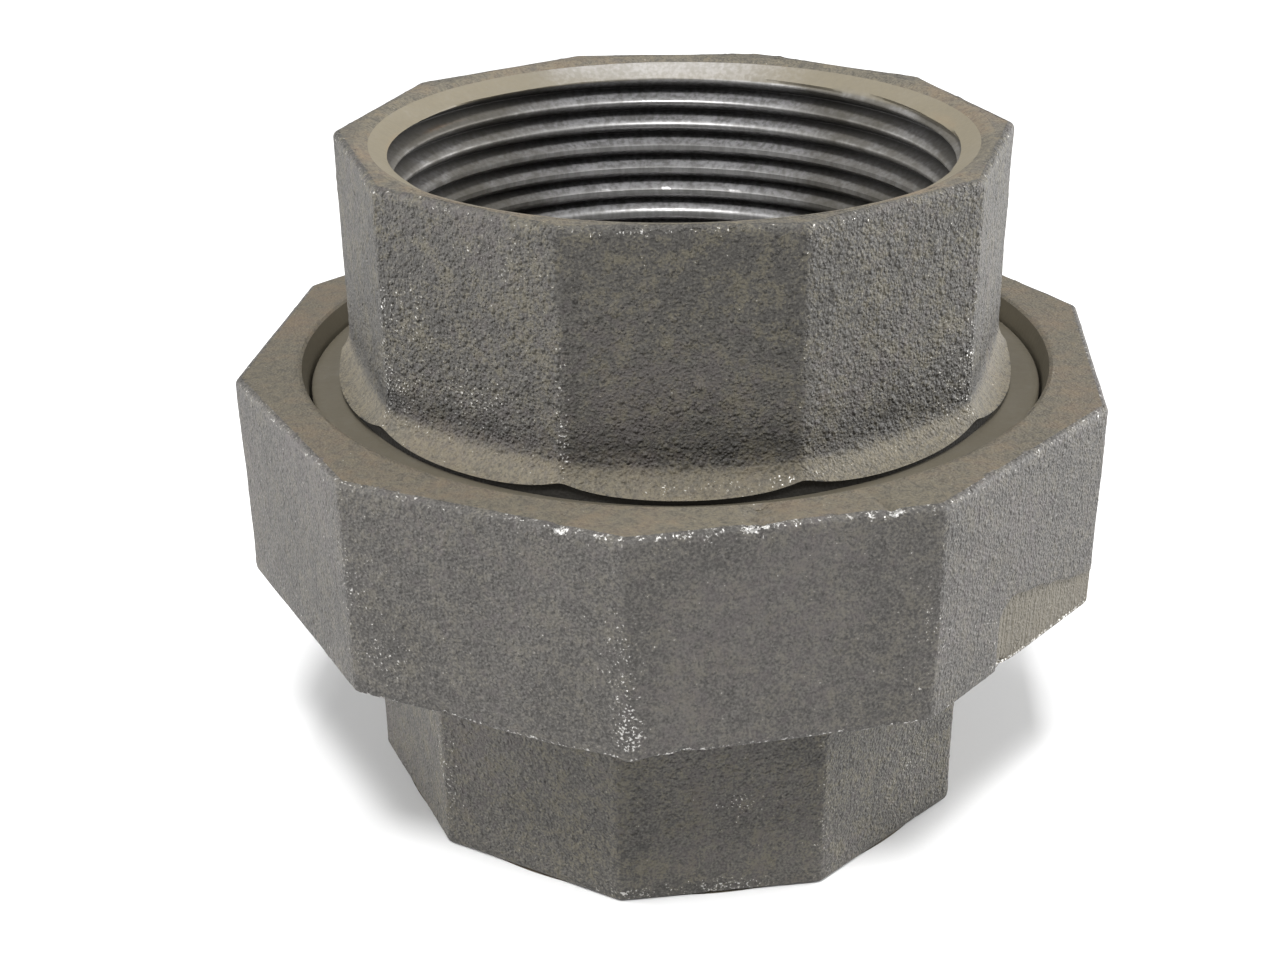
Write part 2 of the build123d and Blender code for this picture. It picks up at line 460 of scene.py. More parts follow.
def hub_wall(hub, bottom, top, step):
    """The upright cast wall of a hub, from top down to bottom, its corners a little rubbed."""
    heights = np.linspace(top, bottom, max(2, round((top - bottom) / step)))[:, None]
    corners = bump(from_corner(hub.angle, hub.turn) * hub.flats / 2, 0, 0.8)
    return band(ten_sided(hub), heights, cast=1.0, worn=0.42 * corners)


def rounded_edge(hub, level, way, **fields):
    """A quarter round between an end face at level and the hub wall; way is 1 at a top and -1 at a bottom.

    The outline shrinks by e (1 - sin t) and the height drops by e (1 - cos t) as t goes from 0 to 90 degrees.
    """
    turns = np.linspace(0, math.pi / 2, 6)[::way, None]
    inset = hub.edge * (1 - np.sin(turns))
    return band(ten_sided(hub, -inset), level - way * hub.edge * (1 - np.cos(turns)), **fields)


def end_face(hub, inner, level, way, steps, **fields):
    """A flat end between a bore edge (radius inner) and the ten-sided outline's rounded edge."""
    outline = ten_sided(hub, -hub.edge)
    share = np.linspace(0, 1, steps + 1)[::way, None]
    return band(inner + (outline - inner) * share, level, **fields)


def flare(hub, level, radius, neck, steps, way=1, **fields):
    """The cast fillet at a hub's foot, cut off by the neck's cylinder.

    At t the outline has grown by f (1 - cos t) and the height is level + way f (1 - sin t);
    t ends where the outline meets the neck, found by halving the range.
    """
    low = np.zeros_like(hub.angle)
    high = np.full_like(hub.angle, math.pi / 2)
    for _ in range(30):
        middle = (low + high) / 2
        reach = ten_sided(hub, radius * (1 - np.cos(middle)))
        low = np.where(reach < neck, middle, low)
        high = np.where(reach < neck, high, middle)
    turns = np.linspace(0, 1, steps + 1)[:, None] * low
    outline = ten_sided(hub, radius * (1 - np.cos(turns)))
    return band(outline, level + way * radius * (1 - np.sin(turns)), **fields)


# ---- threads ----
def vee_groove(centre, pitch, crest, root, root_half, slope=FLANK, taper=None, inside=True):
    """A V groove: its depth falls off with distance from its middle at the flank's slope."""
    sign = 1 if inside else -1

    def radius(away, height):
        deepest = root - crest if taper is None else root + taper(height) - crest
        depth = np.clip(np.abs(deepest) - np.maximum(away - root_half, 0) / slope, 0, None)
        return crest + sign * depth

    mouth = root_half + abs(root - crest) * slope
    flank = [root_half + (mouth - root_half) * share for share in (0.1, 0.35, 0.6, 0.85)]
    half = sorted([root_half * 0.999, *flank, mouth * 0.999, mouth + 0.06])
    half = [h for h in half if h < pitch / 2]
    edges = [-h for h in reversed(half)] + half
    return SimpleNamespace(
        centre=centre, pitch=pitch, crest=crest, root=root, radius=radius, edges=edges, inside=inside
    )


def mouth_cone(mouth, inward):
    """Radius of a pipe mouth's countersink at a height: mouth radius less its slope times the depth."""
    slope = (MOUTH_RADIUS - PIPE_CREST) / MOUTH_DEPTH
    return lambda height: MOUTH_RADIUS - slope * inward * (height - mouth)


def pipe_groove(size, mouth, inward, centre):
    """Groove of the taper pipe thread, its root 1 mm nearer the axis for each 32 mm of depth."""
    return vee_groove(
        centre, size.pipe_pitch, PIPE_CREST, PIPE_ROOT, 0.06,
        taper=lambda height: -PIPE_TAPER * inward * (height - mouth),
    )


def flipped(block):
    """The same band with its rows in the opposite order."""
    return SimpleNamespace(**{name: values[::-1] for name, values in vars(block).items()})


def rubbed(points, places):
    """Sum of soft spots; a place is angle in degrees, height, width and height spread in mm, and strength."""
    x, y, level = np.moveaxis(points, -1, 0)
    radius = np.hypot(x, y)
    angle = np.arctan2(y, x)
    total = np.zeros(radius.shape)
    for turn, height, wide, tall, strength in places:
        aside = (angle - math.radians(turn) + math.pi) % FULL_TURN - math.pi
        total += strength * bump(aside * radius, 0, wide) * bump(level, height, tall)
    return total


def mouth_edge(level, way):
    """Outline points from the seam up a countersink's cone and over its eased edge onto the end face."""
    slope = MOUTH_DEPTH / (MOUTH_RADIUS - PIPE_CREST)
    return [
        (SEAM_RADIUS, level - way * slope * (MOUTH_RADIUS - SEAM_RADIUS)),
        (MOUTH_RADIUS - 0.45, level - way * slope * 0.45),
        (MOUTH_RADIUS - 0.1, level - way * 0.13),
        (MOUTH_RADIUS + 0.2, level - way * 0.03),
        (MOUTH_RADIUS + MOUTH_EDGE, level),
    ]


# ---- tail piece ----
# Bright grain tips, and painted highlights: thin glints along the front of the rim's outer edge and of the
# skirt's lower edge.
TAIL_SPECKS_AND_GLINTS = [
    (-142, 61, 4.5, 4.0, 0.7), (-138, 71, 4.5, 5.0, 0.55), (-124, 63, 7, 5, 0.65), (-144, 66, 0.9, 9, 0.5),
    (-108, 65, 0.7, 8, 0.75), (-107.5, 60, 1.0, 3, 0.5), (-116, 80, 7, 3, 0.5), (-72, 70, 0.8, 9, 0.35),
    (-40, 62, 4, 6, 0.6), (-72, 57.0, 6, 0.6, 0.7), (-88, 56.4, 9, 0.6, 0.6), (-36, 66, 1.0, 10, 0.6),
    (-96, 84.3, 9, 0.4, 0.9), (-62, 84.2, 5, 0.4, 0.6), (-128, 84.2, 5, 0.4, 0.6),
    (40, 70, 5, 8, 0.5), (108, 64, 3, 9, 0.5), (160, 72, 5, 6, 0.5),
]
# Painted shade in the fillet at the hub's foot, strongest on the left front.
FOOT_SHADE = [(-143, 60.0, 7, 1.8, 0.35), (-128, 60.2, 7, 1.6, 0.25)]


def tail_relief(points, rows):
    """Cast skin of the upper hub: coarse on the front, coarsest near the foot, smooth on the skirt below it.

    Grain tips are rubbed bright in places, with painted glints along front edges, and painted shade lies in
    the fillet at the foot.
    """
    x, y, height = np.moveaxis(points, -1, 0)
    angle = np.degrees(np.arctan2(y, x))
    wall = rows.cast > 0.3
    front = 0.35 + 0.65 * bump(np.abs(angle + 85), 0, 62) + 0.25 * bump(angle, 100, 40)
    foot = 0.8 * bump(height, 60.5, 2.6) + 0.25 * bump(height, 79, 5)
    skirt = ramp(height, 58.2, 61.0)
    coarse = (front * (0.75 + foot)) * (0.12 + 0.88 * skirt)
    rows.speck = np.clip(rubbed(points, TAIL_SPECKS_AND_GLINTS), 0, 1.3) * wall
    # Painted shade: near-black in the fillet where the wall meets the skirt.
    crease_shade = 0.3 * bump(height, 60.6, 1.7) + rubbed(points, FOOT_SHADE)
    rows.grime = np.maximum(rows.grime, crease_shade * wall * (0.8 + 0.5 * noise(points, 2.5, 37)))
    return cast_relief(points, rows, 31, coarse)


def build_tail_hub(size):
    """Cast hub of the tail piece: ten-sided wall, flat end, flared foot and the neck below it."""
    hub = hub_shape(size.tail_flats, 0.0, 80, size)
    angle = hub.angle
    top = size.total_height
    foot = TAIL_FLARE_LEVEL + TAIL_FLARE
    skirt = flare(hub, TAIL_FLARE_LEVEL, TAIL_FLARE, NECK_RADIUS, 12, rust=0.1)
    share = np.linspace(0, 1, len(skirt.radius))[:, None] * np.ones_like(skirt.radius)
    skirt.cast = 1 - 0.65 * ramp(share, 0, 0.45)
    skirt.turned = 0.8 * ramp(share, 0, 0.5)
    # The skirt's cut lower edge is brightened: bare metal, partly a painted highlight.
    skirt.worn = 0.5 * share**8
    lower = skirt.height[-1]
    drop = np.array([0.0, 0.12, 0.3, 0.65, 1.0])[:, None]
    neck = NECK_RADIUS - NECK_RELIEF * ramp(drop, 0, 0.3)
    sleeve = [
        (SLEEVE_BACK, COLLAR_TOP + 4), (SLEEVE_BACK, top - SLEEVE_DEPTH), (SEAM_RADIUS, top - SEAM_DEPTH)
    ]
    face = {"cast": 0.35, "turned": 0.6, "rust": 0.35}
    rows = stack(
        end_face(hub, MOUTH_RADIUS + MOUTH_EDGE, top, 1, 7, **face),
        # The rounded top edge is brightened all round: wear, partly a painted highlight along the rim.
        rounded_edge(hub, top, 1, cast=0.8, worn=0.55),
        hub_wall(hub, foot, top - hub.edge - 0.3, 0.36),
        skirt,
        # Painted shade: the neck is near-black, standing for the shade in the slit between the skirt and the
        # nut.
        band(neck, lower + (COLLAR_TOP - lower) * drop, turned=1.0, grime=1.0),
        turned_band(angle, [(NECK_RADIUS - 1, COLLAR_TOP), (SLEEVE_BACK, COLLAR_TOP)], step=9),
        turned_band(angle, sleeve, step=LONG_STEP),
        turned_band(angle, mouth_edge(top, 1), step=0.35, cast=0.15, turned=0.7, rust=0.45),
    )
    piece = ring_piece("tail_hub", angle, rows, tail_relief)
    finish = cast_iron("tail_cast_iron", shade=1.3, light=0.86)
    join_frame(piece, "tail_end", "tail_piece", finish)


def build_tail_bore(size):
    """Inside of the tail piece: countersink, taper pipe thread, run-out and waterway."""
    angle = even_columns(BORE_COLUMNS)
    top = size.total_height
    thread_end = top - PIPE_LENGTH
    run_out = thread_end - RUN_OUT_LENGTH
    sleeve = [(SLEEVE_BACK, top - SLEEVE_DEPTH), (SLEEVE_BACK, COLLAR_TOP + 4), (SLEEVE_BACK, COLLAR_TOP)]
    waterway = [
        (SPIGOT_MIDDLE, size.spigot_end), (TAIL_WATERWAY, size.spigot_end), (TAIL_WATERWAY, run_out),
        (RUN_OUT_RADIUS, run_out), (RUN_OUT_RADIUS, thread_end),
    ]
    rows = stack(
        turned_band(angle, sleeve, step=LONG_STEP),
        turned_band(angle, [(SPIGOT_MIDDLE, COLLAR_TOP), (SPIGOT_MIDDLE, size.spigot_end)], step=LONG_STEP),
        turned_band(angle, waterway, step=2.0, ease=0.3, turned=1.0, rust=0.5),
        helical_band(
            angle, pipe_groove(size, top, -1, top - size.pipe_pitch / 2), thread_end, top - THREAD_START,
            within=mouth_cone(top, -1), turned=1.0, rust=0.15,
        ),
    )
    piece = ring_piece("tail_bore", angle, rows, thread_relief)
    join_frame(piece, "tail_end", "tail_piece", cut_iron("tail_thread_iron", 1.45))


def build_tail_flange(size):
    """Turned foot of the tail piece: collar, flange that the nut's lip bears on, and spigot."""
    angle = even_columns(240)
    collar = [(SPIGOT_MIDDLE, COLLAR_TOP), (COLLAR_RADIUS, COLLAR_TOP), (COLLAR_RADIUS, FLANGE_TOP + 0.3)]
    flange = [
        (COLLAR_RADIUS, FLANGE_TOP), (FLANGE_RADIUS, FLANGE_TOP), (FLANGE_RADIUS, FLANGE_BOTTOM),
        (SPIGOT_RADIUS, FLANGE_BOTTOM), (SPIGOT_RADIUS, size.spigot_end), (SPIGOT_MIDDLE, size.spigot_end),
        (SPIGOT_MIDDLE, COLLAR_TOP - 1),
    ]
    rows = stack(
        # A little painted shade on the collar, down in the recess under the nut's lip.
        turned_band(angle, collar, step=1.0, ease=0.25, turned=1.0, rust=0.75, cast=1.0, grime=0.15),
        turned_band(angle, flange, step=1.0, ease=0.25, turned=1.0, rust=0.4),
    )
    piece = ring_piece("tail_flange", angle, rows)
    join_frame(piece, "tail_end", "tail_piece", cut_iron("tail_turned_iron"))


# Painted highlight: bright metal at the far side of the tail's mouth, where it catches the lights.
BORE_BACK_HIGHLIGHT = [(94, 83.9, 10, 1.5, 0.9), (76, 84.2, 6, 1.5, 0.5), (112, 84.4, 4, 1.0, 0.5)]
BORE_RUST = [
    (178, 82.6, 7, 0.7, 0.9), (-166, 82.4, 5, 0.7, 0.6), (150, 80.6, 9, 0.5, 0.4), (12, 83.2, 6, 0.7, 0.5),
]


def thread_relief(points, rows):
    """Small tears of a cut surface, 0.02 mm deep; brown film as painted shade away from the far side, rust
    patches, and a painted highlight at the far side of the mouth.
    """
    side = np.abs(np.arctan2(points[..., 0], points[..., 1]))
    # Painted shade: brown film grows towards the sides and front of each bore, leaving its far side bright.
    # The listed patches are rust.
    rows.rust = rows.rust + 0.6 * ramp(side, 0.12, 0.75) + 1.5 * rubbed(points, BORE_RUST)
    rows.worn = rows.worn + rubbed(points, BORE_BACK_HIGHLIGHT)
    return 0.02 * noise(points, 1.2, 71) * rows.turned


# ---- union nut ----

# The ground flat: direction it faces in degrees, its left end along the side, its top there and how that
# falls, the fall and width of its round corner, its depth, half its border's width, and a distance from the
# axis inside which nothing is ground.
PATCH_SIDE = -42.4
PATCH_LEFT = -3.6
PATCH_TOP = 40.9
PATCH_SLOPE = -0.26
PATCH_ROUND = (2.6, 1.3)
PATCH_DEPTH = 0.4
PATCH_BORDER = 0.25
PATCH_INNER = 45

# Soft spots as in rubbed: bright grain tips with painted glints along the front of the top edge, where metal
# ran below the edge, and chips out of the edges.
NUT_SPECKS_AND_GLINTS = [
    (-96.4, 36.0, 1.6, 3.6, 0.9), (-96.0, 33.6, 1.8, 1.4, 0.9), (-97, 44, 3.2, 5, 0.6),
    (-132.4, 46, 4, 6, 0.55), (-128, 37, 4, 3, 0.6), (-60.4, 42, 4.0, 7, 0.5), (-83, 56.4, 7, 0.6, 0.5),
    (-100, 56.4, 9, 0.7, 0.45), (-60, 56.4, 9, 0.5, 0.35), (-80, 31.3, 12, 0.5, 0.7),
    (-112, 31.3, 9, 0.6, 0.5), (-47, 32, 5, 1.0, 0.7), (-49, 39, 3, 4, 0.4), (30, 44, 6, 8, 0.4),
    (84, 40, 3, 7, 0.5), (150, 50, 5, 4, 0.5),
]
EDGE_DRIPS = [
    (-96.2, 30.9, 1.4, 1.0, 0.35), (-106, 30.9, 5, 1.0, 0.45), (-113, 30.9, 3, 1.0, 0.3),
    (-70, 30.9, 3, 1.0, 0.2),
]
EDGE_CHIPS = [
    (-81.5, 57.4, 1.2, 1.0, 0.5), (-79.6, 57.4, 0.8, 1.0, 0.35), (-104, 57.4, 0.9, 1.0, 0.3),
    (-66, 57.4, 0.7, 1.0, 0.3), (-44.4, 31.0, 1.3, 1.0, 0.6), (-90, 31.0, 0.9, 1.0, 0.3),
    (-72, 31.0, 0.8, 1.0, 0.25), (-120, 31.0, 1.0, 1.0, 0.3), (60, 57.4, 1.2, 1.0, 0.4),
    (140, 31.0, 1.4, 1.0, 0.4),
]


def nut_relief(points, rows):
    """Skin of the nut, with a ground flat on one side, chipped edges, runs of metal below the front edge and
    a painted highlight along its top front edge.

    The flat is the plane PATCH_DEPTH inside the side's own plane; what stands proud of it is cut away.
    """
    size = sizes()
    x, y, height = np.moveaxis(points, -1, 0)
    skin = rows.cast > 0.1
    wall = rows.cast > 0.5

    turn = math.radians(PATCH_SIDE)
    outwards = x * math.cos(turn) + y * math.sin(turn)
    along = y * math.cos(turn) - x * math.sin(turn)
    past = along - PATCH_LEFT
    ragged = 0.25 * noise(points, 1.6, 55)
    upper = PATCH_TOP + PATCH_SLOPE * past - PATCH_ROUND[0] * np.exp(-past / PATCH_ROUND[1]) + ragged
    patch = ramp(along + ragged, PATCH_LEFT - PATCH_BORDER, PATCH_LEFT + PATCH_BORDER)
    patch = patch * (1 - ramp(height, upper - PATCH_BORDER, upper + PATCH_BORDER))
    patch = patch * (outwards > PATCH_INNER)
    cut = patch * np.maximum(outwards - (size.nut_flats / 2 - PATCH_DEPTH), 0) * skin
    rows.ground = patch * skin
    rows.worn = np.clip(rows.worn * (1 - 0.5 * patch) + 0.5 * patch * bump(height, 31.0, 1.2), 0, 1)

    chips = rubbed(points, EDGE_CHIPS) * (0.6 + 0.8 * (noise(points, 0.8, 57) > 0))
    rows.speck = np.clip(rubbed(points, NUT_SPECKS_AND_GLINTS), 0, 1) * wall
    # Painted highlight: a thin bright line along the top edge, only on the side facing the front.
    front = bump(np.arctan2(-x, -y), 0.0, 0.7)
    rows.worn = rows.worn + 0.15 * front * bump(height, size.nut_top - 0.2, 0.22) * wall
    rows.worn = np.clip(rows.worn + 0.55 * ramp(chips, 0.1, 0.3), 0, 1)
    rows.height = rows.height - rubbed(points, EDGE_DRIPS) * skin
    relief = cast_relief(points, rows, 51, 0.22 + 0.3 * bump(height, 44, 16) * rows.cast)
    return relief * (1 - patch) - cut - chips * skin


def build_nut_shell(size):
    """Outside of the union nut: ten-sided wall, turned upper face and cast lower face with a thinner edge."""
    hub = hub_shape(size.nut_flats, size.nut_turn, 86, size)
    thin = SimpleNamespace(**{**vars(hub), "edge": NUT_THIN_EDGE})
    angle = hub.angle
    top = size.nut_top
    bottom = size.nut_bottom
    upper = {"cast": 0.2, "turned": 1.0, "rust": 0.35}
    lower = {"cast": 0.4, "turned": 0.5, "rust": 0.3}
    lip = [(LIP_MOUTH + 0.35, top - 0.6), (LIP_MOUTH - 0.1, top - 0.2)]
    rows = stack(
        end_face(hub, LIP_MOUTH + 0.3, top, 1, 9, **upper),
        rounded_edge(hub, top, 1, cast=0.7, worn=0.6),
        hub_wall(hub, bottom + 0.6, top - 1.1, 0.42),
        rounded_edge(thin, bottom, -1, cast=0.7, worn=0.75),
        end_face(thin, NUT_MOUTH + 0.2, bottom, -1, 4, **lower),
        turned_band(angle, [(NUT_MOUTH, bottom + 0.2), (NUT_CORE, bottom + NUT_CORE_BOTTOM)], turned=1.0),
        turned_band(angle, [(NUT_CORE, bottom + 2), (NUT_CORE, top - NUT_CORE_TOP)], step=LONG_STEP),
        turned_band(angle, lip, step=3, turned=1.0, rust=0.3),
    )
    piece = ring_piece("nut_shell", angle, rows, nut_relief)
    finish = cast_iron("nut_cast_iron", cool=0.5, smooth=0.5, shade=0.9, light=0.97)
    join_frame(piece, "nut", "union_nut", finish)


def build_nut_bore(size):
    """Inside of the union nut: thread, pocket round the flange, and the lip that pulls it down."""
    angle = even_columns(BORE_COLUMNS)
    top = size.nut_top
    bottom = size.nut_bottom
    pitch = size.nut_pitch
    groove = vee_groove(bottom - pitch, pitch, FEMALE_CREST, FEMALE_ROOT + THREAD_DEEPER, THREAD_FLAT)
    slope = (NUT_MOUTH - FEMALE_CREST) / (NUT_MOUTH_TOP - bottom)
    core_bottom = bottom + NUT_CORE_BOTTOM
    core = [(LIP_MOUTH + 0.3, top - 0.6), (NUT_CORE, top - NUT_CORE_TOP), (NUT_CORE, core_bottom)]
    pocket = [
        (POCKET_RADIUS, POCKET_BOTTOM), (POCKET_RADIUS, FLANGE_TOP), (LIP_RADIUS, FLANGE_TOP),
        (LIP_RADIUS, COLLAR_TOP), (LIP_MOUTH - 0.1, top - 0.2),
    ]
    rows = stack(
        turned_band(angle, core, step=LONG_STEP),
        helical_band(
            angle, groove, bottom + 0.2, POCKET_BOTTOM,
            within=lambda height: NUT_MOUTH - slope * (height - bottom), turned=1.0, rust=0.3,
        ),
        turned_band(angle, pocket, step=1.0, ease=0.25, turned=1.0, rust=0.5, cast=1.0),
    )
    piece = ring_piece("nut_bore", angle, rows, thread_relief)
    join_frame(piece, "nut", "union_nut", cut_iron("nut_thread_iron"))


# ---- thread piece ----
BASE_RUBBED = [
    (-80, 13, 3.5, 2.0, 0.6), (-82, 1.0, 8, 1.2, 0.9), (-100, 1.2, 5, 1.0, 0.7), (-137, 12, 3, 9, 0.6),
    (-64.9, 10, 1.2, 8, 0.5), (-40, 9, 4, 6, 0.5), (60, 9, 5, 6, 0.4), (130, 8, 4, 6, 0.4),
]


def base_relief(points, rows):
    """Smoother cast skin of the lower hub, with nicks along its standing edge."""
    nicks = 0.25 * ramp(noise(points, 1.7, 67), 0.45, 0.9) * bump(points[..., 2], 0.3, 0.9) * rows.cast
    rows.speck = np.clip(rubbed(points, BASE_RUBBED), 0, 1) * (rows.cast > 0.1)
    return cast_relief(points, rows, 61, 0.3) - nicks


def build_base_hub(size):
    """Cast hub of the thread piece, flaring out to the threaded drum above it."""
    hub = hub_shape(size.base_flats, size.base_turn, 72, size)
    angle = hub.angle
    foot = BASE_FLARE_LEVEL - BASE_FLARE
    level = BASE_FLARE_LEVEL
    skirt = flare(hub, level, BASE_FLARE, UNDERCUT_RADIUS, 14, way=-1, cast=1.0)
    outer = skirt.radius[-1]
    share = np.linspace(0, 1, 5)[:-1, None]
    undercut = [(SLEEVE_BACK, UNDERCUT_TOP), (UNDERCUT_RADIUS, UNDERCUT_TOP), (UNDERCUT_RADIUS, level)]
    sleeve = [(SEAM_RADIUS, SEAM_DEPTH), (SLEEVE_BACK, SLEEVE_DEPTH), (SLEEVE_BACK, UNDERCUT_TOP - 1)]
    rows = stack(
        turned_band(angle, undercut, step=1.5, ease=0.1, turned=1.0, rust=0.4),
        band(UNDERCUT_RADIUS + (outer - UNDERCUT_RADIUS) * share, level, cast=0.6),
        flipped(skirt),
        hub_wall(hub, hub.edge + 0.3, foot, 0.45),
        rounded_edge(hub, 0.0, -1, cast=0.4, worn=0.5),
        end_face(hub, MOUTH_RADIUS + MOUTH_EDGE, 0.0, -1, 5, turned=0.6, rust=0.3),
        turned_band(angle, mouth_edge(0.0, -1)[::-1], step=0.35, turned=0.7, rust=0.45),
        turned_band(angle, sleeve, step=LONG_STEP),
    )
    piece = ring_piece("base_hub", angle, rows, base_relief)
    finish = cast_iron("base_cast_iron", smooth=0.5, light=1.06)
    join_frame(piece, "thread_end", "thread_piece", finish)


def build_base_bore(size):
    """Inside of the lower hub: countersink, taper pipe thread, run-out and waterway."""
    angle = even_columns(BORE_COLUMNS)
    run_out = PIPE_LENGTH + RUN_OUT_LENGTH
    waterway = [
        (RUN_OUT_RADIUS, PIPE_LENGTH), (RUN_OUT_RADIUS, run_out), (BASE_WATERWAY, run_out),
        (BASE_WATERWAY, UNDERCUT_TOP),
    ]
    rows = stack(
        turned_band(angle, [(SLEEVE_BACK, UNDERCUT_TOP), (SLEEVE_BACK, SLEEVE_DEPTH)], step=LONG_STEP + 10),
        helical_band(
            angle, pipe_groove(size, 0.0, 1, 0.0), THREAD_START, PIPE_LENGTH,
            within=mouth_cone(0.0, 1), turned=1.0, rust=0.2,
        ),
        turned_band(angle, waterway, step=1.5, ease=0.3, turned=1.0, rust=0.5),
    )
    piece = ring_piece("base_bore", angle, rows, thread_relief)
    join_frame(piece, "thread_end", "thread_piece", cut_iron("base_thread_iron"))


def build_base_drum(size):
    """Upper part of the thread piece: the male union thread outside and the conical seat inside."""
    angle = even_columns(BORE_COLUMNS)
    top = size.seat_face
    half = size.nut_pitch / 2
    slope = (half - THREAD_PLAY - THREAD_FLAT) / (MALE_MAJOR + THREAD_DEEPER - MALE_ROOT)
    groove = vee_groove(
        size.nut_bottom - half, size.nut_pitch, MALE_MAJOR, MALE_ROOT, THREAD_FLAT, slope=slope, inside=False
    )
    seat = [
        (BASE_WATERWAY, UNDERCUT_TOP), (BASE_WATERWAY, SEAT_THROAT), (SEAT_MOUTH, top), (MALE_ROOT, top),
        (MALE_ROOT + 0.05, top - 0.05),
    ]
    shoulder = [(UNDERCUT_RADIUS, UNDERCUT_TOP), (BASE_WATERWAY + 0.3, UNDERCUT_TOP)]
    rows = stack(
        turned_band(angle, seat, step=1.2, ease=0.2, turned=1.0, rust=0.1),
        helical_band(angle, groove, UNDERCUT_TOP, top - 0.05, turned=1.0, rust=0.2),
        turned_band(angle, shoulder, step=LONG_STEP, turned=1.0),
    )
    rows.radius = np.minimum(rows.radius, MALE_ROOT + top - rows.height)
    piece = ring_piece("base_drum", angle, rows, thread_relief)
    join_frame(piece, "thread_end", "thread_piece", cut_iron("base_turned_iron"))


# ---- shader trees ----
class Number:
    """A number in a shader tree: sums and products of it add Math nodes."""

    def __init__(self, finish, socket):
        self.finish = finish
        self.socket = socket

    def math(self, operation, *values):
        return self.finish.add("ShaderNodeMath", {"operation": operation}, dict(enumerate(values)))

    def __add__(self, other):
        return self.math("ADD", self, other)

    def __sub__(self, other):
        return self.math("SUBTRACT", self, other)

    def __rsub__(self, other):
        return self.math("SUBTRACT", other, self)

    def __mul__(self, other):
        return self.math("MULTIPLY", self, other)

    def __pow__(self, other):
        return self.math("POWER", self, other)

    __radd__ = __add__
    __rmul__ = __mul__


class Finish:
    """A new material and the one way in which its nodes are added."""

    def __init__(self, name):
        self.material = bpy.data.materials.new(name)
        self.material.use_nodes = True
        self.tree = self.material.node_tree
        self.tree.nodes.clear()
        self.place = self.add("ShaderNodeTexCoord", output="Object")

    def add(self, kind, settings=None, inputs=None, output=0):
        """A node of this kind: settings first, then sockets by name or number; gives one output."""
        node = self.tree.nodes.new(kind)
        for name, value in (settings or {}).items():
            setattr(node, name, value)
        for name, value in (inputs or {}).items():
            if isinstance(value, Number):
                self.tree.links.new(value.socket, node.inputs[name])
            else:
                node.inputs[name].default_value = value
        return Number(self, node.outputs[output]) if len(node.outputs) else node

    def noise(self, millimetres, detail=3.0, roughness=0.5, stretch=None):
        """Noise whose features are about this many millimetres across."""
        where = self.place
        if stretch is not None:
            where = self.add("ShaderNodeVectorMath", {"operation": "MULTIPLY"}, {0: where, 1: stretch})
        return self.add(
            "ShaderNodeTexNoise", {},
            {"Vector": where, "Scale": 1 / (millimetres * MM), "Detail": detail, "Roughness": roughness},
        )

    def crumbs(self, millimetres, fill):
        """Round crumbs from 0 to 1 about this many millimetres apart, each of its own height."""
        near = self.add("ShaderNodeTexVoronoi", {}, {"Vector": self.place, "Scale": 1 / (millimetres * MM)})
        tall = self.ramp(Number(self, near.socket.node.outputs["Color"]), 0.75 - fill, 0.95 - 0.5 * fill)
        return self.ramp(near, 0.6, 0.12) * tall

    def field(self, name):
        """One of the piece's own surface fields."""
        return self.add("ShaderNodeAttribute", {"attribute_name": name}, output="Fac")

    def ramp(self, value, low, high):
        """0 at low to 1 at high, eased."""
        return self.add(
            "ShaderNodeMapRange", {"interpolation_type": "SMOOTHSTEP"},
            {"Value": value, "From Min": low, "From Max": high},
        )

    def blend(self, first, second, share):
        """Mix of two colours, which are sockets 6 and 7 of the node."""
        first, second = (c if isinstance(c, Number) else (*c, 1) for c in (first, second))
        return self.add("ShaderNodeMix", {"data_type": "RGBA"}, {0: share, 6: first, 7: second}, output=2)

    def coats(self, skin, *layers):
        """Colours laid one over the other; each layer is a colour and its share."""
        for tint, share in layers:
            skin = self.blend(skin, tint, share)
        return skin

    def close(self, colour, roughness, metallic, height, relief_mm):
        """The surface shader: colour, roughness, metallic, and a bump of this height in millimetres."""
        normal = self.add("ShaderNodeBump", {}, {"Height": height, "Distance": relief_mm * MM, "Strength": 1})
        surface = self.add(
            "ShaderNodeBsdfPrincipled", {},
            {"Base Color": colour, "Roughness": roughness, "Metallic": metallic, "Normal": normal},
        )
        self.add("ShaderNodeOutputMaterial", {}, {"Surface": surface})
        return self.material


def rings(finish, step_mm):
    """Fine turning marks: a sine of the distance from the axis plus the height."""
    parts = finish.add("ShaderNodeSeparateXYZ", {}, {"Vector": finish.place}).socket.node.outputs
    x, y, z = (Number(finish, part) for part in parts)
    phase = ((x * x + y * y) ** 0.5 + z) * (FULL_TURN / (step_mm * MM))
    return phase.math("SINE", phase)


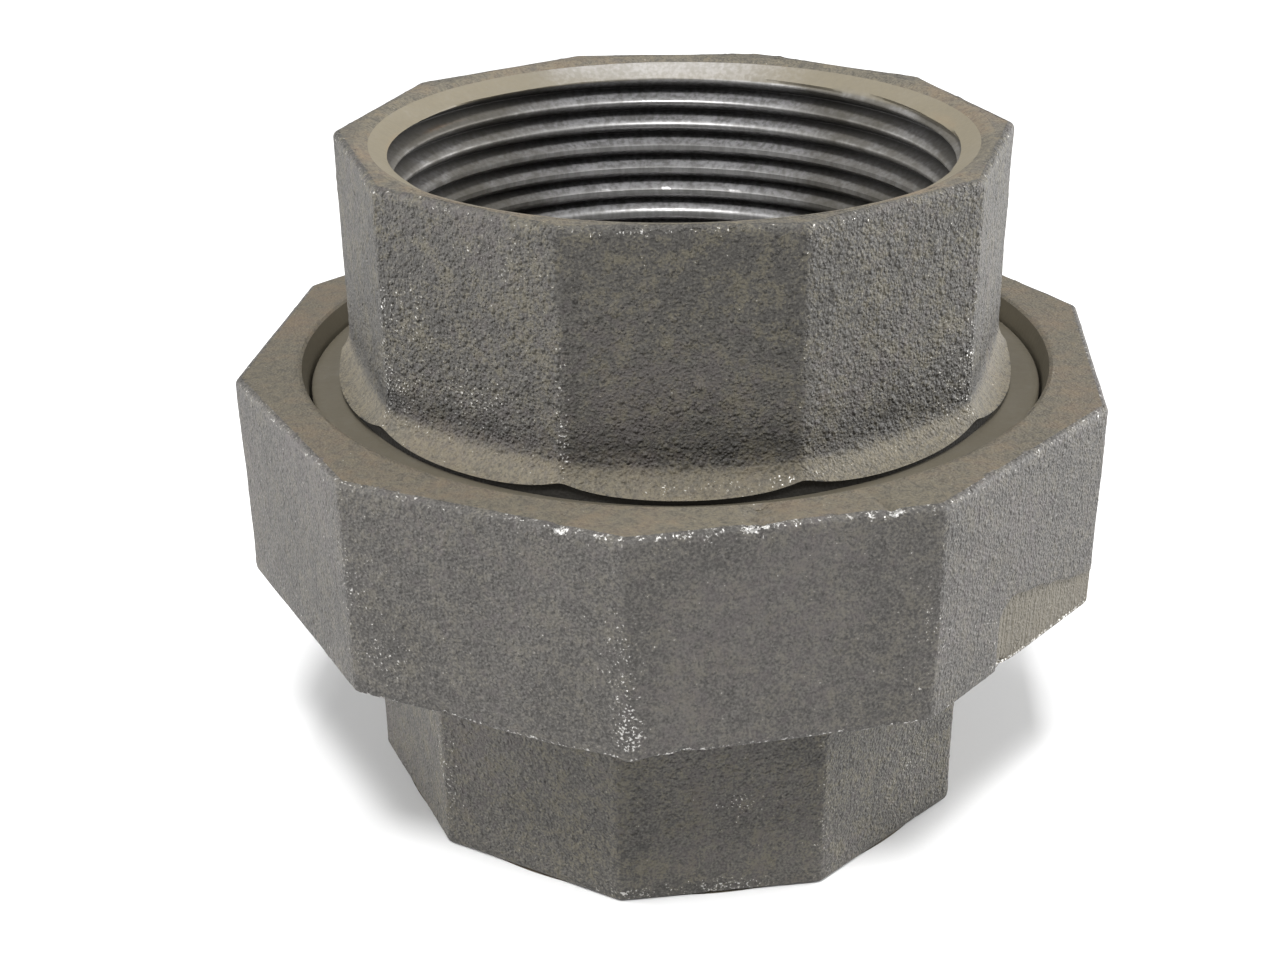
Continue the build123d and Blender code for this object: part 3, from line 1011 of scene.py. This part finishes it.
def cast_iron(name, cool=0.0, smooth=0.0, shade=1.0, light=1.0):
    """Raw malleable iron: sandy mottled skin, brown film where turned, bright metal where rubbed and as
    painted glints, painted shade in creases.
    """
    look = bpy.context.scene.union_finish
    finish = Finish(name)
    cloud = finish.noise(16.0, 3.0)
    mottle = finish.noise(3.2, 4.0, 0.6)
    sand = finish.noise(0.9, 3.0, 0.6)
    dust = finish.noise(0.3, 2.0)
    turned = finish.field("turned")
    cast = finish.field("cast")
    tone = finish.ramp(0.15 * mottle + 0.15 * cloud + 0.22 * sand + 0.48 * dust, 0.38, 0.62)
    grey = [light * c * (1 + cool * k) for c, k in zip(look.iron_light, (0.0, -0.01, 0.08))]
    yellow = finish.ramp(0.3 * sand + 0.3 * dust + 0.4 * mottle, 0.48, 0.6)
    purple = finish.ramp(0.5 * finish.noise(1.4, 2.0) + 0.5 * cloud, 0.5, 0.64)
    film = finish.ramp(turned * (0.75 + 0.5 * cloud), 0.3, 0.95)
    film = film * (0.35 + 0.65 * finish.ramp(0.5 * sand + 0.5 * dust, 0.35, 0.65))
    rust = finish.field("rust") * finish.ramp(0.5 * mottle + 0.5 * cloud, 0.44, 0.66)
    ground = finish.field("ground")
    lines = finish.noise(0.45, 2.0, stretch=(1, 1, 0.05))
    spots = 0.75 * dust + 0.25 * sand
    edge = finish.field("worn") + 0.9 * (sand - 0.5) + 1.7 * (spots - 0.5)
    bare = finish.ramp(edge, 0.86, 1.06)
    specks = finish.ramp(spots + 0.15 * finish.field("speck"), 0.69, 0.74)
    bright = bare.math("MAXIMUM", bare, specks)
    skin = finish.coats(
        look.iron_dark,
        (grey, tone),
        (look.ochre, 0.5 * (1 - cool) * yellow),
        (look.plum, 0.35 * purple),
        ([shade * c for c in look.film], film),
        (look.rust, 0.5 * rust),
        (look.film, ground * (0.4 + 0.5 * lines)),
        (look.bare_iron_and_glint, 0.8 * bright),
        (look.shade_black, 0.93 * finish.field("grime")),
    )
    roughness = 0.66 - 0.26 * bright + 0.2 * (sand - 0.5)
    crumbs = 0.5 * finish.crumbs(0.8, 0.35) + 0.35 * finish.crumbs(0.42, 0.45)
    height = cast * (0.06 * sand + 0.34 * dust + (1 - 0.6 * smooth) * crumbs)
    height = height + turned * (0.18 * dust + 0.1 * sand) + ground * (0.7 * lines)
    return finish.close(skin, roughness, 0.8 * bright, height, 0.7 - 0.25 * smooth)


def cut_iron(name, shade=1.0):
    """Cut iron: grey satin metal with tool marks, brown film in places, painted shade in the groove roots and
    corners, and painted highlight on crests.
    """
    look = bpy.context.scene.union_finish
    finish = Finish(name)
    cloud = finish.noise(9.0, 3.0)
    mottle = finish.noise(2.4, 4.0, 0.6)
    sand = finish.noise(0.7, 3.0, 0.6)
    tears = finish.noise(0.6, 3.0, stretch=(1, 1, 0.3))
    stain = finish.field("rust") + 0.5 * (cloud - 0.5) + 0.5 * (mottle - 0.5)
    rust = finish.ramp(stain, 0.35, 0.85)
    worn = finish.field("worn")
    face = finish.field("cast")
    grime = finish.field("grime")
    skin = finish.coats(
        look.cut_dark,
        (look.cut_light, finish.ramp(0.4 * mottle + 0.6 * tears, 0.38, 0.62)),
        (look.bare_iron_and_glint, 0.4 * worn),
        ([0.42 * c for c in look.film], 0.88 * rust),
        (look.rust, 0.85 * finish.ramp(stain, 1.1, 1.7)),
        ([shade * c for c in look.film], 0.95 * face * (0.7 + 0.4 * sand) * (1 - 0.6 * worn)),
        (look.shade_black, 0.93 * grime),
    )
    dull = rust.math("MAXIMUM", rust, face)
    dull = dull.math("MAXIMUM", dull, grime)
    roughness = 0.42 + 0.16 * dull + 0.2 * (mottle - 0.5)
    metallic = 0.6 - 0.55 * dull * (1 - 0.7 * worn)
    height = 0.5 * tears + 0.2 * mottle + 0.6 * face * sand
    return finish.close(skin, roughness, metallic, height, 0.05)


def seat_brass(name):
    """Turned brass: warm satin metal with fine rings and a little tarnish."""
    look = bpy.context.scene.union_finish
    finish = Finish(name)
    tarnish = finish.ramp(finish.noise(3.0, 4.0, 0.6), 0.45, 0.7)
    skin = finish.blend(look.brass, [0.55 * c for c in look.brass], 0.6 * tarnish)
    return finish.close(skin, 0.24 + 0.22 * tarnish, 1.0, rings(finish, 0.4), 0.004)


def pale_floor(name):
    """Matt white board with barely seen mottling."""
    look = bpy.context.scene.union_studio
    finish = Finish(name)
    skin = finish.blend(look.floor, [0.985 * c for c in look.floor], finish.noise(60.0, 3.0))
    return finish.close(skin, 0.9, 0.0, finish.noise(0.8), 0.01)


# ---- operators ----
class UNION_OT_tail_piece(bpy.types.Operator):
    """Build the upper half: cast hub, threaded bore and turned flange"""

    bl_idname = "pipe_union.tail_piece"
    bl_label = "Tail piece"

    def execute(self, context):
        size = sizes()
        build_tail_hub(size)
        build_tail_bore(size)
        build_tail_flange(size)
        return {"FINISHED"}


class UNION_OT_union_nut(bpy.types.Operator):
    """Build the ten-sided nut: outer shell and threaded bore"""

    bl_idname = "pipe_union.union_nut"
    bl_label = "Union nut"

    def execute(self, context):
        size = sizes()
        build_nut_shell(size)
        build_nut_bore(size)
        return {"FINISHED"}


class UNION_OT_thread_piece(bpy.types.Operator):
    """Build the lower half: cast hub, threaded bore, and drum with male thread and seat"""

    bl_idname = "pipe_union.thread_piece"
    bl_label = "Thread piece"

    def execute(self, context):
        size = sizes()
        build_base_hub(size)
        build_base_bore(size)
        build_base_drum(size)
        return {"FINISHED"}


class UNION_OT_seat_ring(bpy.types.Operator):
    """Finish the brass seat ring, which keeps its engineering shape"""

    bl_idname = "pipe_union.seat_ring"
    bl_label = "Seat ring"

    def execute(self, context):
        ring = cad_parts["seat_ring"]
        ring.data.materials.clear()
        ring.data.materials.append(seat_brass("seat_ring_brass"))
        return {"FINISHED"}


class UNION_OT_studio(bpy.types.Operator):
    """Set up the pale floor, the white surround, the soft lights and the camera"""

    bl_idname = "pipe_union.studio"
    bl_label = "Studio"

    def execute(self, context):
        lay_floor()
        light_studio(context.scene)
        place_camera(context.scene)
        return {"FINISHED"}


FLOOR_HOLE = 0.01
FLOOR_RADIUS = 2500
FLOOR_THICK = 5

# Square lights: name, place and width in metres, and power in watts.
LIGHTS = (
    ("key_light", (-0.02, -0.52, 0.88), 0.16, 9.6),
    ("left_light", (-0.88, 0.06, 0.30), 0.62, 9.6),
    ("right_light", (0.85, 0.22, 0.26), 0.62, 14.5),
    ("top_light", (0.0, 0.10, 1.0), 0.26, 3.2),
)
LIGHTS_AIM = Vector((0, 0, 0.05))


def lay_floor():
    """A flat round floor board, as rings of points round the axis."""
    angle = even_columns(96)
    face = turned_band(angle, [(FLOOR_HOLE, 0), (FLOOR_RADIUS, 0)], step=FLOOR_RADIUS / 10)
    back = turned_band(angle, [(FLOOR_RADIUS, -FLOOR_THICK), (FLOOR_HOLE, -FLOOR_THICK)], step=FLOOR_RADIUS)
    rows = stack(face, back)
    floor = ring_piece("studio_floor", angle, rows)
    floor.data.materials.append(pale_floor("floor_board"))


def light_studio(scene):
    """A white surround, a small high light at the front, a broad one at each side and a weak one overhead."""
    look = scene.union_studio
    world = bpy.data.worlds.new("white_surround")
    world.use_nodes = True
    background = world.node_tree.nodes["Background"]
    background.inputs["Color"].default_value = (0.97, 0.985, 1.0, 1)
    background.inputs["Strength"].default_value = look.sky
    scene.world = world
    scene.view_settings.view_transform = "Standard"
    for name, place, width, power in LIGHTS:
        light = bpy.data.lights.new(name, "AREA")
        light.size = width
        light.energy = power
        lamp = bpy.data.objects.new(name, light)
        lamp.location = place
        lamp.rotation_euler = (LIGHTS_AIM - Vector(place)).to_track_quat("-Z", "Y").to_euler()
        scene.collection.objects.link(lamp)


def place_camera(scene):
    """The camera looks along +Y, tilted down and leaning a little."""
    look = scene.union_studio
    camera = bpy.data.cameras.new("studio_camera")
    camera.lens = look.lens
    camera.sensor_width = 36
    camera.clip_start = 0.01
    stand = bpy.data.objects.new("studio_camera", camera)
    tilted = Matrix.Rotation(math.pi / 2 - look.tilt, 4, "X")
    stand.matrix_world = Matrix.Translation(look.stand_off) @ tilted @ Matrix.Rotation(look.roll, 4, "Z")
    scene.collection.objects.link(stand)
    scene.camera = stand


class UNION_PT_panel(bpy.types.Panel):
    """Buttons and settings of the pipe union"""

    bl_idname = "UNION_PT_panel"
    bl_label = "Pipe union"
    bl_space_type = "VIEW_3D"
    bl_region_type = "UI"
    bl_category = "Pipe union"

    def draw(self, context):
        for operator in OPERATORS:
            self.layout.operator(operator.bl_idname)
        for name in PROPERTY_GROUPS:
            box = self.layout.box()
            group = getattr(context.scene, name)
            for field in group.bl_rna.properties:
                if field.identifier not in ("name", "rna_type"):
                    box.prop(group, field.identifier)


OPERATORS = (
    UNION_OT_tail_piece,
    UNION_OT_union_nut,
    UNION_OT_thread_piece,
    UNION_OT_seat_ring,
    UNION_OT_studio,
)
PROPERTY_GROUPS = {"union_sizes": UnionSizes, "union_finish": UnionFinish, "union_studio": UnionStudio}


def register():
    for name, group in PROPERTY_GROUPS.items():
        bpy.utils.register_class(group)
        setattr(bpy.types.Scene, name, PointerProperty(type=group))
    for kind in (*OPERATORS, UNION_PT_panel):
        bpy.utils.register_class(kind)


def unregister():
    for kind in (UNION_PT_panel, *reversed(OPERATORS)):
        bpy.utils.unregister_class(kind)
    for name, group in reversed(PROPERTY_GROUPS.items()):
        delattr(bpy.types.Scene, name)
        bpy.utils.unregister_class(group)


def main():
    """Register the settings, operators and panel, then build every piece and set up the studio."""
    register()
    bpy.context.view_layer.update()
    bpy.ops.pipe_union.tail_piece()
    bpy.ops.pipe_union.union_nut()
    bpy.ops.pipe_union.thread_piece()
    bpy.ops.pipe_union.seat_ring()
    bpy.ops.pipe_union.studio()


if __name__ == "__main__":
    main()
